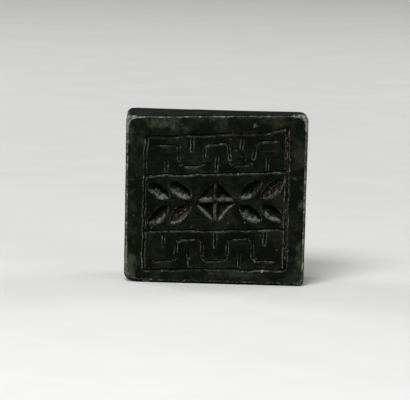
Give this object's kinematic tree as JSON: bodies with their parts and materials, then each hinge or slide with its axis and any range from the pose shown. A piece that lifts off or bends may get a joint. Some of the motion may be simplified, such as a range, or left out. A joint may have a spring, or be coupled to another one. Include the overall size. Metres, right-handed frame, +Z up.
{
  "type": "seal stamp",
  "caption": "Square hand-cut stone seal with an engraved printing face inside a plain border line, sloping shoulders and a bridge knob with a cord opening, lying on one side.",
  "frame": {"origin": "middle of the footprint at the lowest point, on the side that the seal lies on", "axes": "+X to the right and +Z up as seen from the printing face, +Y from the printing face to the knob"},
  "size_m": [0.0304, 0.025, 0.0288],
  "materials": {
    "green_stone": "dark green mottled stone, rubbed smooth and dull, with pale worn edges and rough cuts",
    "dried_paste": "dry crumbly red-brown seal paste"
  },
  "bodies": {
    "root": {"seal_stone": "green_stone", "paste_right_border_lower": "dried_paste", "paste_right_border_upper": "dried_paste", "paste_bottom_border": "dried_paste", "paste_top_border": "dried_paste", "paste_diamond_upper_left": "dried_paste", "paste_diamond_lower_right": "dried_paste", "paste_leaf_upper_right": "dried_paste", "paste_leaf_lower_left": "dried_paste"}
  },
  "joints": []
}
